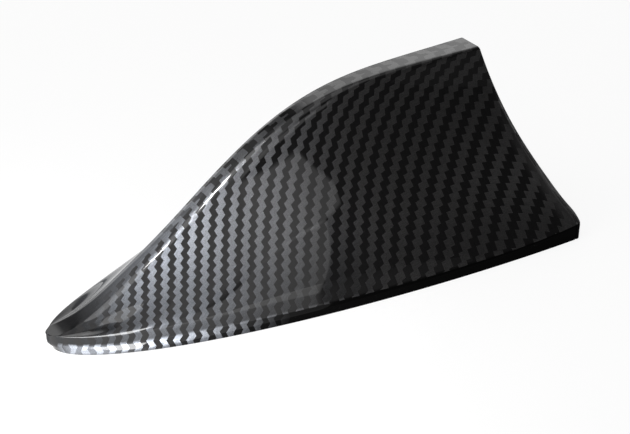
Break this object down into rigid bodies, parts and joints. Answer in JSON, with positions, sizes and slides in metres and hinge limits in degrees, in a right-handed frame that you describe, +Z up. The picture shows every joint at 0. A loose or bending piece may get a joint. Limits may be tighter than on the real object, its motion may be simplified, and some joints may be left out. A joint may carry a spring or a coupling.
{
  "type": "shark fin roof aerial",
  "caption": "Hollow shark fin roof aerial for a car, with a flat glued carrier ring, an open foot cavity and an amplifier deck inside.",
  "frame": {"origin": "on the roof at the middle of the fin's footprint box", "axes": "+X from the nose to the tail, +Y to the car's right, +Z up from the roof"},
  "size_m": [0.166, 0.072, 0.0593],
  "materials": {
    "fin_gloss": "clear coated plastic with a grey and black twill print, high gloss",
    "ring_plastic": "black moulded plastic with a fine grain",
    "deck_plastic": "black moulded plastic, smooth matte",
    "seal_rubber": "soft black rubber, matte",
    "pale_foam": "pale closed-cell adhesive foam",
    "dark_foam": "dark grey open-cell foam",
    "screw_steel": "zinc plated steel",
    "tinned_steel": "tinned sheet steel, satin",
    "board_green": "green solder mask on glass-filled board, semi-gloss",
    "chip_black": "black moulded epoxy",
    "capacitor_tan": "tan ceramic with tinned ends",
    "ferrite_grey": "dark grey ferrite",
    "copper_wire": "enamelled copper wire",
    "copper_track": "bare copper track",
    "socket_ivory": "ivory nylon",
    "former_ivory": "ivory moulded plastic",
    "pin_brass": "brass pin, satin",
    "strip_brass": "rolled brass sheet",
    "solder_tin": "solder, satin",
    "wire_red": "red wire insulation"
  },
  "bodies": {
    "root": {"fin_shell": "fin_gloss", "carrier_ring": "ring_plastic", "ring_gasket": "seal_rubber", "adhesive_ring": "pale_foam", "ring_screws": "screw_steel", "inner_deck": "deck_plastic", "deck_screws": "screw_steel", "lead_grommet": "seal_rubber", "amplifier_board": "board_green", "board_screws": "screw_steel", "shield_frame": "tinned_steel", "shield_lid": "tinned_steel", "amplifier_chip": "chip_black", "chip_capacitors": "capacitor_tan", "chip_resistors": "chip_black", "filter_choke": "ferrite_grey", "choke_winding": "copper_wire", "lead_socket": "socket_ivory", "socket_pins": "pin_brass", "coil_former": "former_ivory", "coil_winding": "copper_wire", "coil_pins": "pin_brass", "antenna_board": "board_green", "antenna_tracks": "copper_track", "top_strip": "strip_brass", "solder_joints": "solder_tin", "jumper_wire": "wire_red", "foam_block": "dark_foam"}
  },
  "joints": []
}
